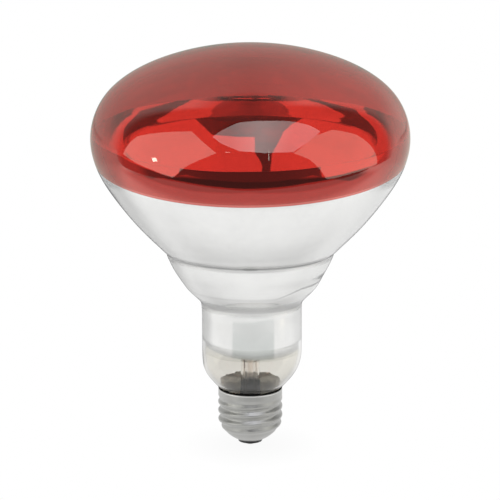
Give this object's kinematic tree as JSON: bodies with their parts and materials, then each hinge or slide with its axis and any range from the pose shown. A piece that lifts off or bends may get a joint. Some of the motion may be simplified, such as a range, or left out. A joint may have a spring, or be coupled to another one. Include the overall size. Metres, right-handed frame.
{
  "type": "infrared reflector heat lamp",
  "caption": "Blown reflector bulb with a domed red face, mirrored cone and neck, clear glass neck end and a threaded 27 mm screw cap; for warming poultry and small livestock",
  "frame": {"origin": "tip of the centre contact, on the lamp's axis", "axes": "+Z along the lamp's axis from the contact to the middle of the red face; +X and +Y across it, with the side lead's solder towards +Y"},
  "size_m": [0.127, 0.127, 0.1643],
  "materials": {
    "bulb_glass": "gloss",
    "ruby_stain": "gloss",
    "reflector_film": "gloss",
    "stem_glass": "gloss",
    "nickel_wire": "satin",
    "seal_wire": "satin",
    "copper_wire": "satin",
    "molybdenum_wire": "satin",
    "tungsten": "satin",
    "mica": "satin",
    "cap_metal": "satin",
    "black_glass": "gloss",
    "contact_metal": "satin",
    "solder": "satin",
    "cement": "matte"
  },
  "bodies": {
    "root": {"bulb_glass": "bulb_glass", "ruby_face_stain": "ruby_stain", "reflector_film": "reflector_film", "stem_glass": "stem_glass", "exhaust_tube": "stem_glass", "arbor_rod": "stem_glass", "fuse_sleeve": "stem_glass", "lead_in_left": "nickel_wire", "lead_in_right": "nickel_wire", "filament_clamps": "nickel_wire", "shield_eyelets": "nickel_wire", "seal_wire_left": "seal_wire", "seal_wire_right": "seal_wire", "lead_out_centre_upper": "copper_wire", "lead_out_centre_lower": "copper_wire", "lead_out_side": "copper_wire", "fuse_wire": "copper_wire", "filament_supports": "molybdenum_wire", "filament_coil": "tungsten", "heat_shield": "mica", "cap_shell": "cap_metal", "cap_insulator": "black_glass", "centre_contact": "contact_metal", "centre_solder": "solder", "side_solder": "solder", "capping_cement": "cement"}
  },
  "joints": []
}
